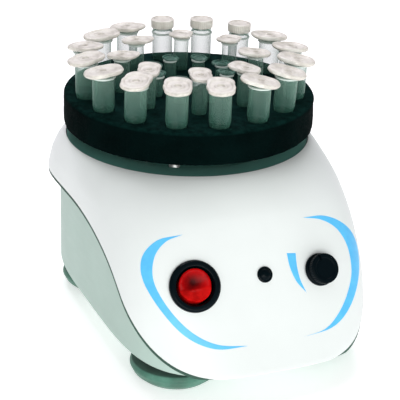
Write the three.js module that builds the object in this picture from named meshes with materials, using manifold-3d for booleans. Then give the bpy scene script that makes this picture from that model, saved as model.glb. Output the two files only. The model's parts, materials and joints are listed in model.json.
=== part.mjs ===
// Multi-tube vortex mixer: a desktop orbital shaker with a round foam tube platform.
// Units are millimetres, +Z is up, the front panel faces -Y and the origin is the centre of the
// footprint on the bench. Inside the housing a motor turns a crank whose pin stands off its axis;
// the platform rides on that pin and three idler pins keep it from turning, so that every tube
// runs in the same small circle.
import * as THREE from 'three';
import { mergeVertices } from 'three/addons/utils/BufferGeometryUtils.js';
import Module from 'manifold-3d';

const wasm = await Module();
wasm.setup();

// ---------------------------------------------------------------- driving dimensions

const AXIS_Y = 28; // the motor axis stands behind the middle of the footprint
const ORBIT = 1; // offset of the crank pin: the platform runs in a circle 2 mm across
const GAP = 0.3; // least clearance between neighbouring pieces

const FOOT_HEIGHT = 13;
const FOOT_RADIUS = 22.5;
const FOOT_X = 38;
const FOOT_FRONT_Y = -56.3;
const FOOT_REAR_Y = 50.5;

const BASE = { half: 63, front: 117.5, rear: 62.3, power: 3.9 };
const BASE_WALL = 3;
const BASE_FLOOR_TOP = FOOT_HEIGHT + 3;

// Level outlines of the cover, evenly spaced in height over COVER_SPAN from its lower edge up. Each
// is a superellipse: half width, reach to the front and to the rear of the motor axis, and exponent.
const COVER_BOTTOM = FOOT_HEIGHT;
const COVER_TOP = 92.2;
const COVER_SPAN = 81.3;
const COVER_HALF = [65.5, 66.8, 67.6, 68, 67.8, 67.2, 66.8];
const COVER_FRONT = [122, 113.5, 105.5, 97.5, 89.5, 80.5, 68];
const COVER_REAR = [66, 66, 66, 66, 66, 66, 66];
const COVER_POWER = [3.4, 4, 4.4, 4.3, 3.8, 2.9, 2];
const COVER_WALL = 2.8;
const LAP = 4; // the base reaches this far up inside the cover

const DECK_RADIUS = 62.9;
const DECK_TOP = 91.6;
const DECK_THICKNESS = 3;
const DECK_BOTTOM = DECK_TOP - DECK_THICKNESS;
const PILLAR_X = 27.7;
const PILLAR_Y = 51.6;
const PILLAR_RADIUS = 4.5;

const BRACKET_TOP = 81;
const BRACKET_THICKNESS = 3;
const BRACKET_RADIUS = 30;
const MOTOR_RADIUS = 17.5;
const MOTOR_BOTTOM = 38;
const MOTOR_TOP = BRACKET_TOP - BRACKET_THICKNESS - GAP;
const SHAFT_RADIUS = 2.5;
const CRANK_BOTTOM = 84;
const CRANK_TOP = 87;
const PIN_RADIUS = 4;
const PIN_TOP = 95.5;
const BEARING_OUTER = 8;

const CARRIER_BOTTOM = 95.8;
const CARRIER_TOP = 98.2;
const CARRIER_RADIUS = 45;
const HUB_RADIUS = 12;
const HUB_BOTTOM = 88;
const IDLER_COUNT = 3;
const IDLER_CIRCLE = 35;
const IDLER_RADIUS = 3.4;
const IDLER_PIN_RADIUS = 1.8;
const IDLER_BOTTOM = 85;
const IDLER_SHOULDER = 94.6;

const PLATFORM_RADIUS = 64.8;
const PLATFORM_BOTTOM = 98.5;
const PLATFORM_TOP = 115.2;

// Places of the controls on the front slope: across and in height.
const SWITCH_PLACE = [-34.4, 52.5];
const LENS_PLACE = [1.6, 53.2];
const KNOB_PLACE = [30.6, 51.4];
const BEZEL_RADIUS = 12.5;
const ROCKER_RADIUS = 7.9;
const ROCKER_PIVOT = -1.5;
const ROCKER_TILT = 7; // either way from its middle
const KNOB_SKIRT_RADIUS = 8;
const KNOB_RADIUS = 7.5;
const KNOB_HEIGHT = 6.8;
const LENS_RADIUS = 3.9;

const JACK_X = 0;
const JACK_Z = 33;
const BOARD_Y = -51;
const BOARD_Z = 26; // underside of the control board

// Tube sizes: outline from the tip, whose height is counted from the platform's top face.
const TUBE_SIDES = 10;
const TUBE_RINGS = {
  large: { count: 16, circle: 54.2, first: -6.2, socket: 5.1, depth: 13.2, tip: 2.1 },
  medium: { count: 8, circle: 34.8, first: -14, socket: 3.8, depth: 10.5, tip: 1.7 },
  small: { count: 8, circle: 19.5, first: 9, socket: 3.1, depth: 8.5, tip: 1.5 },
};
const SCREW_CAPPED = [6, 7, 8]; // places in the outer ring that hold a screw-capped tube

// ---------------------------------------------------------------- solids

// Closed solid from a three.js geometry: position only, shared vertices, no collapsed triangles.
function toSolid(geometry) {
  const bare = new THREE.BufferGeometry();
  bare.setAttribute('position', geometry.getAttribute('position').clone());
  if (geometry.getIndex()) {
    bare.setIndex(geometry.getIndex());
  }
  const merged = mergeVertices(bare, 1e-4);
  const index = merged.getIndex().array;
  const triangles = [];
  for (let i = 0; i < index.length; i += 3) {
    const [a, b, c] = index.slice(i, i + 3);
    if (a !== b && b !== c && c !== a) {
      triangles.push(a, b, c);
    }
  }
  const vertProperties = new Float32Array(merged.getAttribute('position').array);
  const triVerts = new Uint32Array(triangles);
  return new wasm.Manifold(new wasm.Mesh({ numProp: 3, vertProperties, triVerts }));
}

function toGeometry(solid) {
  const mesh = solid.getMesh();
  const geometry = new THREE.BufferGeometry();
  geometry.setAttribute('position', new THREE.BufferAttribute(new Float32Array(mesh.vertProperties), 3));
  geometry.setIndex(new THREE.BufferAttribute(new Uint32Array(mesh.triVerts), 1));
  geometry.computeVertexNormals();
  return geometry;
}

function joinAll(solids) {
  return solids.reduce((sum, solid) => sum.add(solid));
}

function cutAll(solid, tools) {
  return tools.reduce((rest, tool) => rest.subtract(tool), solid);
}

// Upright cylinder between two heights.
function rod(radius, bottom, top, x = 0, y = 0, sides = 24) {
  const geometry = new THREE.CylinderGeometry(radius, radius, top - bottom, sides);
  geometry.rotateX(Math.PI / 2);
  geometry.translate(x, y, (bottom + top) / 2);
  return toSolid(geometry);
}

function block(sizeX, sizeY, sizeZ, x, y, z) {
  const geometry = new THREE.BoxGeometry(sizeX, sizeY, sizeZ);
  geometry.translate(x, y, z);
  return toSolid(geometry);
}

// Solid of revolution about +Z from [radius, height] pairs that start and end on the axis.
function turned(profile, sides = 24) {
  const points = profile.map(([radius, height]) => new THREE.Vector2(radius, height));
  const geometry = new THREE.LatheGeometry(points, sides);
  geometry.rotateX(Math.PI / 2);
  return toSolid(geometry);
}

// Ring of revolution about +Z with a rectangular section.
function collar(inner, outer, bottom, top, sides = 24) {
  return rod(outer, bottom, top, 0, 0, sides).subtract(rod(inner, bottom - 1, top + 1, 0, 0, sides));
}

// ---------------------------------------------------------------- housing outline

// Value of an evenly spaced list at a fraction from 0 to 1, along a Catmull-Rom spline.
function splineAt(list, fraction) {
  const place = THREE.MathUtils.clamp(fraction, 0, 1) * (list.length - 1);
  const left = Math.min(Math.floor(place), list.length - 2);
  const t = place - left;
  const p1 = list[left];
  const p2 = list[left + 1];
  const p0 = left > 0 ? list[left - 1] : 2 * p1 - p2;
  const p3 = left + 2 < list.length ? list[left + 2] : 2 * p2 - p1;
  const slope1 = (p2 - p0) / 2;
  const slope2 = (p3 - p1) / 2;
  const cubic = 2 * p1 - 2 * p2 + slope1 + slope2;
  const square = -3 * p1 + 3 * p2 - 2 * slope1 - slope2;
  return ((cubic * t + square) * t + slope1) * t + p1;
}

// Level outline of the cover at a height, drawn in by an inset.
function coverOutline(z, inset = 0) {
  const fraction = (z - COVER_BOTTOM) / COVER_SPAN;
  return {
    half: splineAt(COVER_HALF, fraction) - inset,
    front: splineAt(COVER_FRONT, fraction) - inset,
    rear: splineAt(COVER_REAR, fraction) - inset,
    power: splineAt(COVER_POWER, fraction),
  };
}

// Point of a superellipse outline in a direction given by its cosine and sine.
function outlinePoint(outline, cosine, sine) {
  const middle = (outline.rear - outline.front) / 2;
  const reach = (outline.rear + outline.front) / 2;
  const bend = (value) => Math.sign(value) * Math.abs(value) ** (2 / outline.power);
  return [outline.half * bend(cosine), AXIS_Y + middle + reach * bend(sine)];
}

// Closed solid through level outlines: a unit cylinder whose rings are pulled onto them.
function loft(heights, outlineAt, sides = 48) {
  const geometry = new THREE.CylinderGeometry(1, 1, 1, sides, heights.length - 1);
  geometry.rotateX(Math.PI / 2);
  const position = geometry.getAttribute('position');
  for (let i = 0; i < position.count; i += 1) {
    const level = Math.round((position.getZ(i) + 0.5) * (heights.length - 1));
    const z = heights[level];
    const outline = outlineAt(z);
    const radius = Math.hypot(position.getX(i), position.getY(i));
    if (radius > 0.5) {
      const [x, y] = outlinePoint(outline, position.getX(i), position.getY(i));
      position.setXYZ(i, x, y, z);
    } else {
      position.setXYZ(i, 0, AXIS_Y + (outline.rear - outline.front) / 2, z);
    }
  }
  return toSolid(geometry);
}

// Heights at which the cover's surface is faceted, closer together on the shoulder.
const COVER_LEVELS = [COVER_BOTTOM, 27, 41, 54, 66, 76, 84, 88.6, COVER_TOP];

// Everything above the parting line between base and cover. The line runs level along the rear
// half of the sides, then falls in an S to the bottom edge at the front.
function abovePartingLine(lift) {
  const shape = new THREE.Shape();
  shape.moveTo(110, 60 + lift);
  shape.bezierCurveTo(70, 65 + lift, 45, 68 + lift, 15, 68 + lift);
  shape.bezierCurveTo(-18, 68 + lift, -36, 58 + lift, -48, 44.3 + lift);
  shape.bezierCurveTo(-58, 33 + lift, -78, 16 + lift, -96, 12 + lift);
  shape.lineTo(-110, 12 + lift);
  shape.lineTo(-110, 120);
  shape.lineTo(110, 120);
  shape.closePath();
  const extrusion = { depth: 180, bevelEnabled: false, curveSegments: 7 };
  const geometry = new THREE.ExtrudeGeometry(shape, extrusion);
  geometry.translate(0, 0, -90);
  const axes = new THREE.Matrix4().makeBasis(
    new THREE.Vector3(0, 1, 0),
    new THREE.Vector3(0, 0, 1),
    new THREE.Vector3(1, 0, 0),
  );
  geometry.applyMatrix4(axes);
  return toSolid(geometry);
}

// Depth of the front slope at a place on it.
function frontSurfaceY(x, z) {
  const outline = coverOutline(z);
  const middle = (outline.rear - outline.front) / 2;
  const reach = (outline.rear + outline.front) / 2;
  const side = 1 - (Math.abs(x) / outline.half) ** outline.power;
  return AXIS_Y + middle - reach * side ** (1 / outline.power);
}

// Frame on the front slope: its +Z points out of the panel and its +Y runs up the slope.
function panelFrame([x, z]) {
  const step = 6;
  const point = new THREE.Vector3(x, frontSurfaceY(x, z), z);
  const recede = frontSurfaceY(x + step, z) - frontSurfaceY(x - step, z);
  const across = new THREE.Vector3(2 * step, recede, 0);
  const rise = frontSurfaceY(x, z + step) - frontSurfaceY(x, z - step);
  const up = new THREE.Vector3(0, rise, 2 * step).normalize();
  const out = new THREE.Vector3().crossVectors(across.normalize(), up).normalize();
  const level = new THREE.Vector3().crossVectors(up, out).normalize();
  return new THREE.Matrix4().makeBasis(level, up, out).setPosition(point);
}

// Solid made in a panel frame, moved to where the frame stands on the housing.
function onPanel(solid, frame) {
  return solid.transform(frame.elements);
}

// ---------------------------------------------------------------- scene graph

const mixer = new THREE.Group();

const FINISHES = {
  housingGrey: { color: 0xb4c6c0, roughness: 0.5, metalness: 0 },
  housingWhite: { color: 0xf0f2f0, roughness: 0.35, metalness: 0 },
  deckGrey: { color: 0x3d5a54, roughness: 0.45, metalness: 0.1 },
  foam: { color: 0x0d1a19, roughness: 0.95, metalness: 0 },
  steel: { color: 0xb0b4b8, roughness: 0.3, metalness: 1 },
  castMetal: { color: 0x8a8d90, roughness: 0.5, metalness: 0.9 },
  footRubber: { color: 0x4a6f60, roughness: 0.7, metalness: 0 },
  blackPlastic: { color: 0x101214, roughness: 0.25, metalness: 0 },
  redPlastic: { color: 0xc8141e, roughness: 0.3, metalness: 0 },
  circuitBoard: { color: 0x1f6b3a, roughness: 0.6, metalness: 0 },
  tubePlastic: { color: 0xc9d6cf, roughness: 0.3, metalness: 0 },
};

function addPiece(name, solid, finish, parent = mixer) {
  const mesh = new THREE.Mesh(toGeometry(solid), new THREE.MeshStandardMaterial(FINISHES[finish]));
  mesh.name = name;
  parent.add(mesh);
  return mesh;
}

// Group whose local origin is the motor axis at bench level.
const drive = new THREE.Group();
drive.position.set(0, AXIS_Y, 0);
mixer.add(drive);

// ---------------------------------------------------------------- housing

const FEET = [
  ['foot_front_left', -FOOT_X, FOOT_FRONT_Y],
  ['foot_front_right', FOOT_X - 1.5, FOOT_FRONT_Y + 2.3],
  ['foot_rear_left', -FOOT_X, FOOT_REAR_Y],
  ['foot_rear_right', FOOT_X, FOOT_REAR_Y],
];

// Places of the four pillars that carry the deck plate.
const PILLARS = [-1, 1].flatMap((sideX) => (
  [-1, 1].map((sideY) => [sideX * PILLAR_X, AXIS_Y + sideY * PILLAR_Y])
));

function makeBaseShell() {
  const prism = loft([FOOT_HEIGHT, 80], () => BASE);
  const inner = loft([BASE_FLOOR_TOP, 90], () => ({
    half: BASE.half - BASE_WALL,
    front: BASE.front - BASE_WALL,
    rear: BASE.rear - BASE_WALL,
    power: BASE.power,
  }));
  const skirt = loft(COVER_LEVELS, (z) => coverOutline(z, 0.8)).subtract(abovePartingLine(-0.5));
  const lining = loft(COVER_LEVELS, (z) => coverOutline(z, COVER_WALL + 0.6));
  const tongue = lining.subtract(abovePartingLine(LAP));
  const shell = prism.intersect(skirt.add(tongue)).subtract(inner);
  const pillars = PILLARS.map(([x, y]) => (
    rod(PILLAR_RADIUS, FOOT_HEIGHT + 1, DECK_BOTTOM - GAP, x, y, 16)
  ));
  const boardPosts = [-1, 1].flatMap((side) => [
    rod(3, FOOT_HEIGHT + 1, BOARD_Z - GAP, side * 29, BOARD_Y - 15, 12),
    rod(3, FOOT_HEIGHT + 1, BOARD_Z - GAP, side * 29, BOARD_Y + 15, 12),
  ]);
  const jackHole = block(14.4, 24, 11.4, JACK_X, AXIS_Y + BASE.rear, JACK_Z);
  const footHoles = FEET.map(([, x, y]) => rod(4, FOOT_HEIGHT - 1, BASE_FLOOR_TOP + 1, x, y, 12));
  return cutAll(joinAll([shell, ...pillars, ...boardPosts]), [jackHole, ...footHoles]);
}

function makeTopCover() {
  const outer = loft(COVER_LEVELS, (z) => coverOutline(z));
  const innerLevels = [COVER_BOTTOM - 2, ...COVER_LEVELS.slice(0, -2), COVER_TOP - COVER_WALL];
  const inner = loft(innerLevels, (z) => coverOutline(z, COVER_WALL));
  const opening = rod(DECK_RADIUS + 0.5, 88, COVER_TOP + 2, 0, AXIS_Y, 60);
  const shell = outer.subtract(inner).intersect(abovePartingLine(0)).subtract(opening);
  const switchHole = onPanel(rod(10.1, -20, 10), panelFrame(SWITCH_PLACE));
  const switchPocket = onPanel(rod(BEZEL_RADIUS + 0.5, -0.9, 10, 0, 0, 36), panelFrame(SWITCH_PLACE));
  const lensHole = onPanel(rod(2.8, -20, 10, 0, 0, 16), panelFrame(LENS_PLACE));
  const knobHole = onPanel(rod(4.2, -20, 10, 0, 0, 16), panelFrame(KNOB_PLACE));
  return cutAll(shell, [switchHole, switchPocket, lensHole, knobHole]);
}

// Round foot with a bulged side and a neck that clips into the floor of the base.
function makeFoot() {
  const profile = [
    [0, 0],
    [14, 0],
    [18.5, 1.4],
    [21.3, 4.4],
    [FOOT_RADIUS, 7.8],
    [FOOT_RADIUS - 0.9, 9.2],
    [11, 9.6],
    [11, FOOT_HEIGHT - GAP],
    [3.7, FOOT_HEIGHT - GAP],
    [3.7, BASE_FLOOR_TOP + 1.5],
    [0, BASE_FLOOR_TOP + 1.5],
  ];
  return turned(profile, 18);
}

addPiece('base_shell', makeBaseShell(), 'housingGrey');
addPiece('top_cover', makeTopCover(), 'housingWhite');
for (const [name, x, y] of FEET) {
  addPiece(name, makeFoot(), 'footRubber').position.set(x, y, 0);
}
addPiece('ballast_plate', block(66, 62, 7, 0, AXIS_Y + 2, BASE_FLOOR_TOP + GAP + 3.5), 'steel');
addPiece('control_board', block(84, 42, 1.6, 0, BOARD_Y, BOARD_Z + 0.8), 'circuitBoard');

// DC inlet: a moulded block in the rear wall with a round socket and its centre contact.
function makePowerJack() {
  const depth = 13;
  const back = AXIS_Y + BASE.rear;
  const body = block(13.8, depth, 10.8, JACK_X, back + 0.4 - depth / 2, JACK_Z);
  const socket = new THREE.CylinderGeometry(3.1, 3.1, 10, 16);
  socket.translate(JACK_X, back + 0.4 - 4, JACK_Z);
  const contact = new THREE.CylinderGeometry(1, 1, 9, 10);
  contact.translate(JACK_X, back - 5, JACK_Z);
  return body.subtract(toSolid(socket)).add(toSolid(contact));
}

addPiece('power_jack', makePowerJack(), 'blackPlastic');

// ---------------------------------------------------------------- drive

// Centres of the idler pins around the motor axis.
const IDLERS = Array.from({ length: IDLER_COUNT }, (_, i) => {
  const angle = THREE.MathUtils.degToRad(90 + (360 / IDLER_COUNT) * i);
  return [IDLER_CIRCLE * Math.cos(angle), IDLER_CIRCLE * Math.sin(angle)];
});

function makeDeckPlate() {
  const disc = rod(DECK_RADIUS, DECK_BOTTOM, DECK_TOP, 0, 0, 60);
  const bosses = IDLERS.map(([x, y]) => rod(6.5, IDLER_BOTTOM, DECK_BOTTOM + 1, x, y, 16));
  const hubHole = rod(HUB_RADIUS + 4, 80, DECK_TOP + 1, 0, 0, 32);
  const bores = IDLERS.map(([x, y]) => (
    rod(IDLER_RADIUS + GAP, IDLER_BOTTOM - 1, DECK_TOP + 1, x, y, 16)
  ));
  return cutAll(joinAll([disc, ...bosses]), [hubHole, ...bores]);
}

function makeMotorBracket() {
  const plate = rod(BRACKET_RADIUS, BRACKET_TOP - BRACKET_THICKNESS, BRACKET_TOP, 0, 0, 32);
  const posts = Array.from({ length: 3 }, (_, i) => {
    const angle = THREE.MathUtils.degToRad(30 + 120 * i);
    return rod(3.5, BRACKET_TOP - 1, DECK_BOTTOM - GAP, 25.5 * Math.cos(angle), 25.5 * Math.sin(angle), 12);
  });
  return joinAll([plate, ...posts]).subtract(rod(7, 70, 90));
}

function makeMotorBody() {
  const profile = [
    [0, MOTOR_BOTTOM - 3],
    [5, MOTOR_BOTTOM - 3],
    [5, MOTOR_BOTTOM],
    [MOTOR_RADIUS - 1, MOTOR_BOTTOM],
    [MOTOR_RADIUS, MOTOR_BOTTOM + 1],
    [MOTOR_RADIUS, MOTOR_TOP - 1],
    [MOTOR_RADIUS - 1, MOTOR_TOP],
    [SHAFT_RADIUS + GAP, MOTOR_TOP],
    [SHAFT_RADIUS + GAP, MOTOR_BOTTOM + 20],
    [0, MOTOR_BOTTOM + 20],
  ];
  return turned(profile);
}

function makeCrankShaft() {
  const shaft = rod(SHAFT_RADIUS, MOTOR_BOTTOM + 21, CRANK_BOTTOM + 1, 0, 0, 16);
  const disc = rod(9, CRANK_BOTTOM, CRANK_TOP, 0, 0, 24);
  const pin = rod(PIN_RADIUS, CRANK_TOP - 1, PIN_TOP, 0, -ORBIT, 20);
  return joinAll([shaft, disc, pin]);
}

// Steel weight that balances the platform: a collar around the crank disc with a half ring on the
// side away from the pin.
function makeCounterweight() {
  const ring = collar(9 + GAP, 19, CRANK_BOTTOM, CRANK_TOP, 32);
  const half = ring.subtract(block(60, 40, 20, 0, -20, CRANK_TOP));
  return half.add(collar(9 + GAP, 12, CRANK_BOTTOM, CRANK_TOP, 32));
}

addPiece('deck_plate', makeDeckPlate(), 'deckGrey', drive);
addPiece('motor_bracket', makeMotorBracket(), 'castMetal', drive);
addPiece('motor_body', makeMotorBody(), 'castMetal', drive);
addPiece('main_bearing', collar(SHAFT_RADIUS + GAP, 6.6, 78.3, 80.8), 'steel', drive);
addPiece('crank_shaft', makeCrankShaft(), 'steel', drive);
addPiece('counterweight', makeCounterweight(), 'steel', drive);

// Stepped pin: the lower part turns in the deck's boss, the upper one stands off it as the crank
// pin stands off the motor axis.
function makeIdler([x, y]) {
  const body = rod(IDLER_RADIUS, IDLER_BOTTOM, IDLER_SHOULDER, x, y, 16);
  return body.add(rod(IDLER_PIN_RADIUS, IDLER_SHOULDER - 1, CARRIER_TOP - GAP, x, y - ORBIT, 12));
}

IDLERS.forEach((centre, i) => addPiece(`idler_pin_${i + 1}`, makeIdler(centre), 'steel', drive));

// ---------------------------------------------------------------- platform

// At rest the crank pin stands in front of the motor axis, and so does everything on it.
const platform = new THREE.Group();
platform.position.set(0, -ORBIT, 0);
drive.add(platform);

function makePlatformCarrier() {
  const plate = rod(CARRIER_RADIUS, CARRIER_BOTTOM, CARRIER_TOP, 0, 0, 40);
  const hub = rod(HUB_RADIUS, HUB_BOTTOM, CARRIER_BOTTOM + 1);
  const seat = rod(BEARING_OUTER + GAP, HUB_BOTTOM - 1, CARRIER_BOTTOM - GAP);
  const bores = IDLERS.map(([x, y]) => rod(IDLER_PIN_RADIUS + GAP, 90, CARRIER_TOP + 1, x, y, 12));
  return cutAll(plate.add(hub), [seat, rod(2.8, 90, CARRIER_TOP + 1, 0, 0, 12), ...bores]);
}

// Places of one ring of tubes on the platform, with the turn that faces each outward.
function ringPlaces(ring) {
  return Array.from({ length: ring.count }, (_, i) => {
    const angle = THREE.MathUtils.degToRad(ring.first + (360 / ring.count) * i);
    return { x: ring.circle * Math.sin(angle), y: -ring.circle * Math.cos(angle), turn: angle };
  });
}

// Tapered blind hole for one tube, with clearance all round.
function makeSocket(ring) {
  const profile = [
    [0, -ring.depth],
    [ring.tip + 0.5, -ring.depth],
    [ring.socket + 0.4, 0],
    [ring.socket + 0.4, 1],
    [0, 1],
  ];
  return turned(profile, TUBE_SIDES);
}

function makePlatformFoam() {
  const profile = [
    [0, PLATFORM_BOTTOM],
    [PLATFORM_RADIUS - 1, PLATFORM_BOTTOM],
    [PLATFORM_RADIUS, PLATFORM_BOTTOM + 1],
    [PLATFORM_RADIUS, PLATFORM_TOP - 1.6],
    [PLATFORM_RADIUS - 1.6, PLATFORM_TOP],
    [0, PLATFORM_TOP],
  ];
  const sockets = Object.values(TUBE_RINGS).flatMap((ring) => {
    const socket = makeSocket(ring);
    return ringPlaces(ring).map(({ x, y }) => socket.translate([x, y, PLATFORM_TOP]));
  });
  return cutAll(turned(profile, 60), [rod(2.8, 90, 120, 0, 0, 12), ...sockets]);
}

function makePlatformScrew() {
  const head = rod(5.5, PLATFORM_TOP + GAP, PLATFORM_TOP + 3.3, 0, 0, 20);
  return head.add(rod(2.4, CARRIER_BOTTOM + 0.2, PLATFORM_TOP + 1, 0, 0, 12));
}

addPiece('platform_carrier', makePlatformCarrier(), 'castMetal', platform);
addPiece(
  'eccentric_bearing',
  collar(PIN_RADIUS + GAP, BEARING_OUTER, HUB_BOTTOM + 0.5, PIN_TOP - 0.5),
  'steel',
  platform,
);
addPiece('platform_foam', makePlatformFoam(), 'foam', platform);
addPiece('platform_screw', makePlatformScrew(), 'steel', platform);

// ---------------------------------------------------------------- tubes

// Snap-lid tube: pointed tip, tapered lower half, straight upper half, rim and closed lid.
function makeSnapTube(ring, radius, lid, height) {
  const profile = [
    [0, -ring.depth + 0.4],
    [ring.tip, -ring.depth + 0.7],
    [ring.socket, 0],
    [radius, height * 0.16],
    [radius, height - 3.4],
    [lid, height - 3],
    [lid, height],
    [0, height],
  ];
  return turned(profile, TUBE_SIDES);
}

// Screw-capped tube: the same body with a thick straight cap.
function makeScrewTube(ring, radius, cap, height) {
  const profile = [
    [0, -ring.depth + 0.4],
    [ring.tip, -ring.depth + 0.7],
    [ring.socket, 0],
    [radius, height * 0.14],
    [radius, height - 5.6],
    [cap, height - 5.6],
    [cap, height],
    [0, height],
  ];
  return turned(profile, TUBE_SIDES);
}

const TUBES = {
  large: makeSnapTube(TUBE_RINGS.large, 5.4, 6.8, 21.6),
  capped: makeScrewTube(TUBE_RINGS.large, 5.4, 6.2, 22.6),
  medium: makeSnapTube(TUBE_RINGS.medium, 3.9, 5.6, 20.8),
  small: makeSnapTube(TUBE_RINGS.small, 3.2, 3.9, 12),
};

for (const [size, ring] of Object.entries(TUBE_RINGS)) {
  ringPlaces(ring).forEach(({ x, y }, i) => {
    const kind = size === 'large' && SCREW_CAPPED.includes(i) ? 'capped' : size;
    const name = `tube_${size}_${String(i + 1).padStart(2, '0')}`;
    const tube = addPiece(name, TUBES[kind], 'tubePlastic', platform);
    tube.position.set(x, y, PLATFORM_TOP);
  });
}

// ---------------------------------------------------------------- controls

function addOnPanel(name, solid, finish, frame) {
  const mesh = addPiece(name, solid, finish);
  mesh.applyMatrix4(frame);
  return mesh;
}

// Round rocker switch: bezel on the panel, barrel behind it, open well for the rocker.
function makeSwitchBody() {
  const profile = [
    [0, -20],
    [9.7, -20],
    [9.7, -0.6],
    [BEZEL_RADIUS, -0.6],
    [BEZEL_RADIUS, 1],
    [BEZEL_RADIUS - 1.2, 2],
    [ROCKER_RADIUS + 1.5, 2],
    [ROCKER_RADIUS + 1.1, -8],
    [0, -8],
  ];
  return turned(profile, 28);
}

// Round rocker with a shallow V across it, pressed in at the top.
function makeRocker() {
  const side = new THREE.Shape();
  side.moveTo(-9, -5);
  side.lineTo(9, -5);
  side.lineTo(9, 2.6);
  side.lineTo(0, 0.6);
  side.lineTo(-9, 2.6);
  side.closePath();
  const wedge = new THREE.ExtrudeGeometry(side, { depth: 20, bevelEnabled: false });
  wedge.translate(0, 0, -10);
  wedge.rotateY(Math.PI / 2);
  wedge.rotateX(Math.PI / 2);
  const body = toSolid(wedge).intersect(rod(ROCKER_RADIUS, -6, 6, 0, 0, 28));
  const tilt = new THREE.Matrix4().makeTranslation(0, 0, ROCKER_PIVOT);
  tilt.multiply(new THREE.Matrix4().makeRotationX(THREE.MathUtils.degToRad(-ROCKER_TILT)));
  tilt.multiply(new THREE.Matrix4().makeTranslation(0, 0, -ROCKER_PIVOT));
  return body.transform(tilt.elements);
}

// Potentiometer: can behind the panel with a threaded bush through it.
function makeSpeedPot() {
  const profile = [
    [3.2, -13],
    [8.2, -13],
    [8.2, -4],
    [3.9, -4],
    [3.9, 0.4],
    [3.2, 0.4],
    [3.2, -13],
  ];
  return turned(profile, 20);
}

function makeKnob() {
  const profile = [
    [0, 3],
    [3.3, 3],
    [3.3, 0.8],
    [KNOB_SKIRT_RADIUS, 0.8],
    [KNOB_SKIRT_RADIUS, 1.8],
    [KNOB_RADIUS - 0.7, 2.4],
    [KNOB_RADIUS - 0.7, 3.4],
    [KNOB_RADIUS, 4],
    [KNOB_RADIUS, KNOB_HEIGHT - 0.8],
    [KNOB_RADIUS - 0.8, KNOB_HEIGHT],
    [0, KNOB_HEIGHT],
  ];
  const slot = block(1.2, 4.6, 1.2, 0, KNOB_RADIUS - 2.3, KNOB_HEIGHT);
  return turned(profile, 24).subtract(slot);
}

function makeLens() {
  const profile = [
    [0, -7],
    [2.4, -7],
    [2.4, 0.4],
    [LENS_RADIUS, 0.4],
    [LENS_RADIUS, 1],
    [2.9, 1.9],
    [0, 2.4],
  ];
  return turned(profile, 20);
}

addOnPanel('switch_body', makeSwitchBody(), 'blackPlastic', panelFrame(SWITCH_PLACE));
addOnPanel('switch_rocker', makeRocker(), 'redPlastic', panelFrame(SWITCH_PLACE));
addOnPanel('speed_pot', makeSpeedPot(), 'castMetal', panelFrame(KNOB_PLACE));
addOnPanel('pot_shaft', rod(2.8, -12, 2.6, 0, 0, 16), 'steel', panelFrame(KNOB_PLACE));
addOnPanel('speed_knob', makeKnob(), 'blackPlastic', panelFrame(KNOB_PLACE));
addOnPanel('indicator_lens', makeLens(), 'blackPlastic', panelFrame(LENS_PLACE));

export default mixer;
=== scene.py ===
"""Looks of the multi-tube vortex mixer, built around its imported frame.

Lengths are written in millimetres and turned into metres when a mesh is made. +Z is up, the front
panel faces -Y, and the platform's axis stands AXIS_Y behind the middle of the footprint.
"""

import json
import math

import bmesh
import bpy
import numpy as np
from mathutils import Matrix, Vector, noise


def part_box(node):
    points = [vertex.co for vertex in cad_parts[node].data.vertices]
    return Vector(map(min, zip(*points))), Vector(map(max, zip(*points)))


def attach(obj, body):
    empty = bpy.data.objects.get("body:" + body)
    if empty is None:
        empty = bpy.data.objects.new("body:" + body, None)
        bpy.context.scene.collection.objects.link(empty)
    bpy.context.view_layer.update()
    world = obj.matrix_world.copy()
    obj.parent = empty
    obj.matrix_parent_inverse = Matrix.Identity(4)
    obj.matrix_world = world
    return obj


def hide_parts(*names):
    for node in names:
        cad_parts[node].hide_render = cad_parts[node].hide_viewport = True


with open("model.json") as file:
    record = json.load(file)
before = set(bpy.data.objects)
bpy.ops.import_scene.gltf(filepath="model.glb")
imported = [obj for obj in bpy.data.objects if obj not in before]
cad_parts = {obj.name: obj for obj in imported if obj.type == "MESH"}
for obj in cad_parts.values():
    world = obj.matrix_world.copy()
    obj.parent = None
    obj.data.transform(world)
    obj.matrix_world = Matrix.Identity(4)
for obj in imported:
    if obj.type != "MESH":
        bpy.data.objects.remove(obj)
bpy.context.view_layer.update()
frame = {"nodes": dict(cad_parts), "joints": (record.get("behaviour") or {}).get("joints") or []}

MM = 0.001

# ---------------------------------------------------------------- sizes

AXIS_Y = frame["joints"][0]["pos_m"][1] / MM
PLATFORM_Y = frame["joints"][1]["pos_m"][1] / MM

FLOOR_Z = 13.0  # underside of the housing
COVER_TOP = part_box("top_cover")[1].z / MM
COVER_SPAN = 81.3  # height over which the level outlines below are evenly spaced
SHOULDER_Z = 77.0  # from here up the cover rounds over to its lip
# Level outlines of the cover at evenly spaced heights: half width, reach from the axis to the
# front and to the rear, and exponent.
COVER_HALF = (65.5, 66.8, 67.6, 68.0, 67.8, 67.2, 66.8)
COVER_FRONT = (122.0, 113.5, 105.5, 97.5, 89.5, 80.5, 68.0)
COVER_REAR = (66.0,) * 7
COVER_POWER = (3.4, 4.0, 4.4, 4.3, 3.8, 2.9, 2.0)
COVER_WALL = 2.8
COVER_EDGE = 0.9  # rounding of its lower edge
COVER_UNDERSIDE = 5.6  # from the lip down to where its inner face starts
BASE = (63.0, 117.5, 62.3, 3.9)  # the same four for the base, at all heights
BASE_WALL = 3.0
BASE_EDGE = 1.6
BASE_FLOOR = 3.0
SEAM = 0.5  # gap between the two shells
LAP = 4.0  # height of the base's tongue behind the cover

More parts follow.
